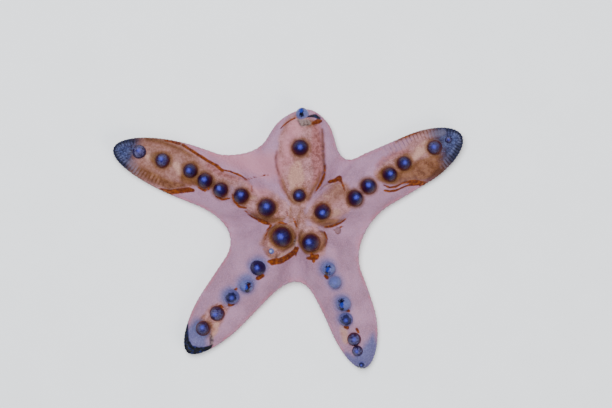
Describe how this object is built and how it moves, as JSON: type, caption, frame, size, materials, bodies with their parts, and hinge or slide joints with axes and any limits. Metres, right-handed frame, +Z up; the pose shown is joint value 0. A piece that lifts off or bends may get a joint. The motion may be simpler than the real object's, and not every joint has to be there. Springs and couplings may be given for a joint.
{
  "type": "horned sea star",
  "caption": "Life-size sea star lying flat with its arms spread, with rows of blunt dark horns along the crests and one arm short and stubby.",
  "frame": {"origin": "on the floor under the middle of the outline's box", "axes": "+Z up out of the upper side, +X along the widest spread of the arms, +Y towards the short arm"},
  "size_m": [0.2086, 0.1553, 0.0382],
  "materials": {
    "disc_skin": "wet leathery skin over plates, dusty mauve with ochre crests",
    "arm_skin": "wet leathery skin over plates, ochre brown crests and mauve flanks",
    "tip_skin": "wet dark slate skin with rows of small plates",
    "sieve_plate": "pale ochre limy plate with fine furrows",
    "lips": "soft wet pale skin"
  },
  "bodies": {
    "root": {"disc": "disc_skin", "arm_right": "arm_skin", "arm_top": "arm_skin", "arm_left": "arm_skin", "arm_low_left": "arm_skin", "arm_low_right": "arm_skin", "tip_right": "tip_skin", "tip_top": "tip_skin", "tip_left": "tip_skin", "tip_low_left": "tip_skin", "tip_low_right": "tip_skin", "madreporite": "sieve_plate", "mouth": "lips"}
  },
  "joints": []
}
